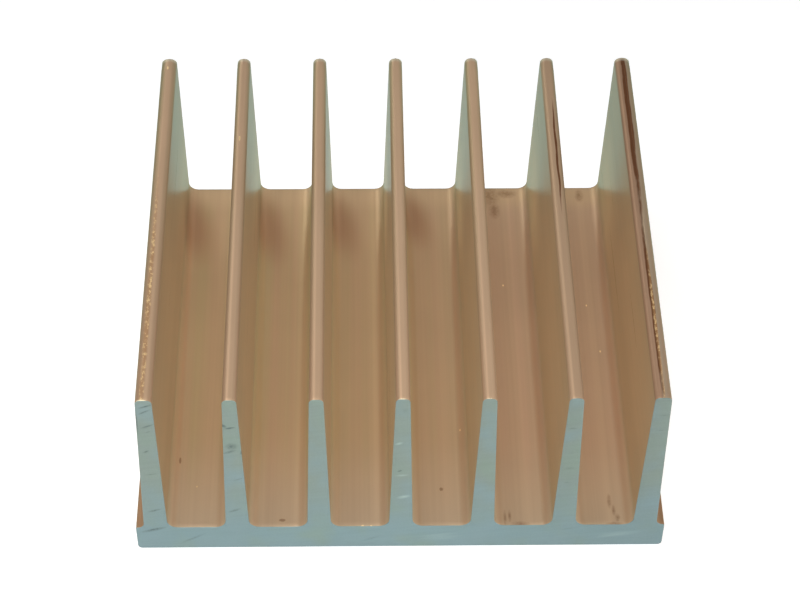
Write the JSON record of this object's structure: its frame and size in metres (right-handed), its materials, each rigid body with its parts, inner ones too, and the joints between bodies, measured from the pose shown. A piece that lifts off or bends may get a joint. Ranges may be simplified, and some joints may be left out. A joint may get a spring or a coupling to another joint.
{
  "type": "extruded heat sink",
  "caption": "Extruded aluminium heat sink: flat base plate with straight tapered fins, dyed anodised, with bare sawn ends.",
  "frame": {"origin": "middle of the flat underside of the base", "axes": "+X across the fins, +Y along the extrusion, +Z out of the base towards the fin tips"},
  "size_m": [0.1, 0.09, 0.044],
  "materials": {
    "anodised_aluminium": "satin copper-tone anodised, with bare sawn ends"
  },
  "bodies": {
    "root": {"heat_sink": "anodised_aluminium"}
  },
  "joints": []
}
